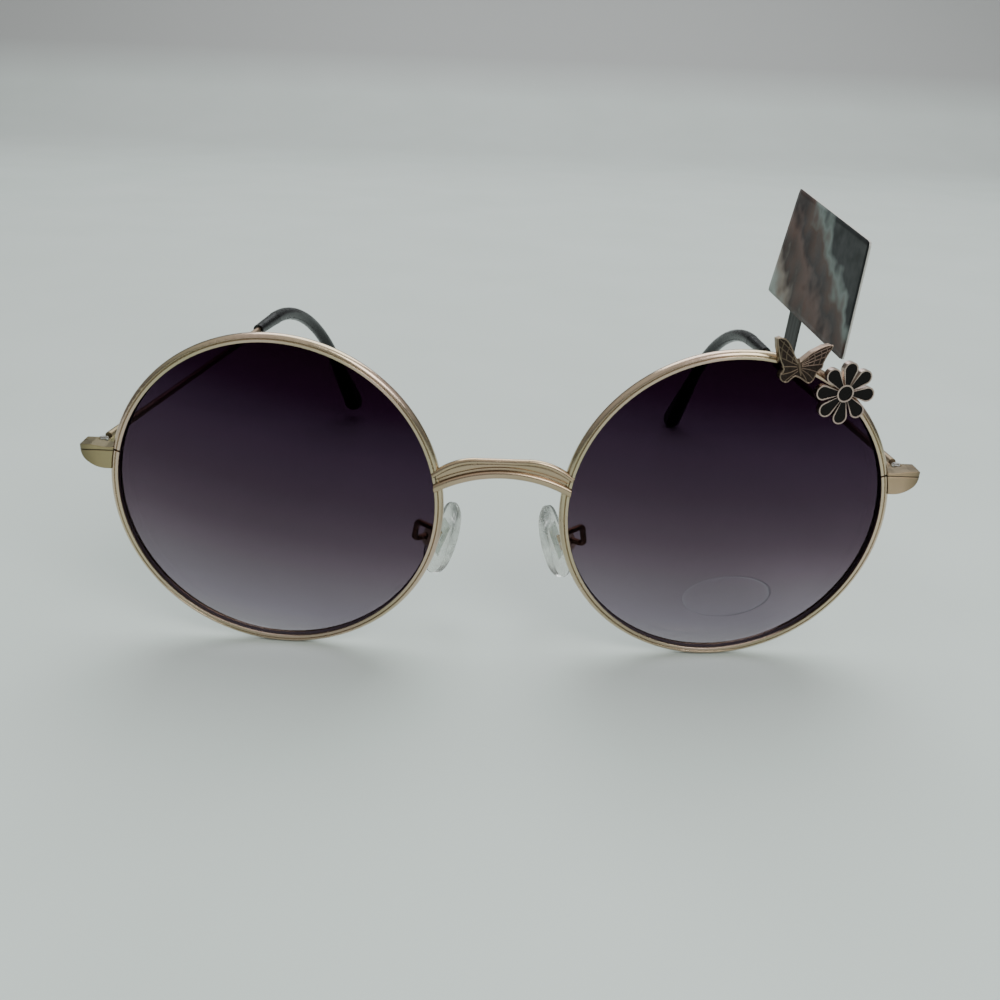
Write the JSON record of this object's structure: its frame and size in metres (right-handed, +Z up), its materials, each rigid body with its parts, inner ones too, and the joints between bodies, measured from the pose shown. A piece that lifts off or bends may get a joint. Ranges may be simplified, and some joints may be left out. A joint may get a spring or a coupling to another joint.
{
  "type": "round wire-frame sunglasses",
  "caption": "Round wire-frame sunglasses with graded dark lenses, folding temples, rocking nose pads, enamelled flower and butterfly charms and a hang tag.",
  "frame": {"origin": "on the table under the middle of the overall box, with the temples open as they rest", "axes": "+X to the right as seen from the front, +Y from the lenses back along the temples, +Z up"},
  "size_m": [0.1342, 0.1232, 0.0697],
  "materials": {
    "gold_plated_wire": "polished pale gold plating on drawn and cast metal",
    "steel_screws": "turned and bright",
    "tinted_lens": "dyed from near black at the top to light grey at the bottom, polished",
    "clear_pad": "clear soft plastic, smooth",
    "black_tip": "moulded black plastic, smooth",
    "black_enamel": "glossy black enamel fill",
    "clear_film": "thin clear film",
    "printed_card": null,
    "grey_strap": "matte plastic strap"
  },
  "bodies": {
    "front": {"rim_left": "gold_plated_wire", "rim_right": "gold_plated_wire", "lens_left": "tinted_lens", "lens_right": "tinted_lens", "bridge": "gold_plated_wire", "end_piece_left": "gold_plated_wire", "end_piece_right": "gold_plated_wire", "closing_block_left": "gold_plated_wire", "closing_block_right": "gold_plated_wire", "rim_screw_left": "steel_screws", "rim_screw_right": "steel_screws", "hinge_screw_left": "steel_screws", "hinge_screw_right": "steel_screws", "pad_arm_left": "gold_plated_wire", "pad_arm_right": "gold_plated_wire", "pad_box_left": "gold_plated_wire", "pad_box_right": "gold_plated_wire", "pad_screw_left": "steel_screws", "pad_screw_right": "steel_screws", "flower_casting": "gold_plated_wire", "flower_enamel": "black_enamel", "butterfly_casting": "gold_plated_wire", "butterfly_enamel": "black_enamel", "lens_sticker": "clear_film"},
    "temple_left": {"temple_hinge_left": "gold_plated_wire", "temple_wire_left": "gold_plated_wire", "tip_sleeve_left": "black_tip"},
    "pad_left": {"pad_insert_left": "steel_screws", "nose_pad_left": "clear_pad"},
    "temple_right": {"temple_hinge_right": "gold_plated_wire", "temple_wire_right": "gold_plated_wire", "tip_sleeve_right": "black_tip"},
    "pad_right": {"pad_insert_right": "steel_screws", "nose_pad_right": "clear_pad"},
    "tag": {"tag_card": "printed_card", "tag_strap": "grey_strap"}
  },
  "joints": [
    {"name": "temple_left_fold", "type": "hinge", "parent": "front", "child": "temple_left", "pos_m": [-0.0648, -0.05185, 0.03215], "axis": [0, 0, -1], "range_deg": [-7.5, 76]},
    {"name": "temple_right_fold", "type": "hinge", "parent": "front", "child": "temple_right", "pos_m": [0.0648, -0.05185, 0.03215], "axis": [0, 0, 1], "range_deg": [-2.5, 70]},
    {"name": "pad_left_rock", "type": "hinge", "parent": "front", "child": "pad_left", "pos_m": [-0.0115, -0.05008, 0.0173], "axis": [-0.3959, 0.9063, 0.148], "range_deg": [-12, 12]},
    {"name": "pad_right_rock", "type": "hinge", "parent": "front", "child": "pad_right", "pos_m": [0.0115, -0.05008, 0.0173], "axis": [0.3959, 0.9063, 0.148], "range_deg": [-12, 12]},
    {"name": "tag_swing", "type": "hinge", "parent": "temple_right", "child": "tag", "pos_m": [0.05985, 0.00152, 0.03441], "axis": [-0.0924, 0.9956, 0.0151], "range_deg": [-10, 90]}
  ]
}
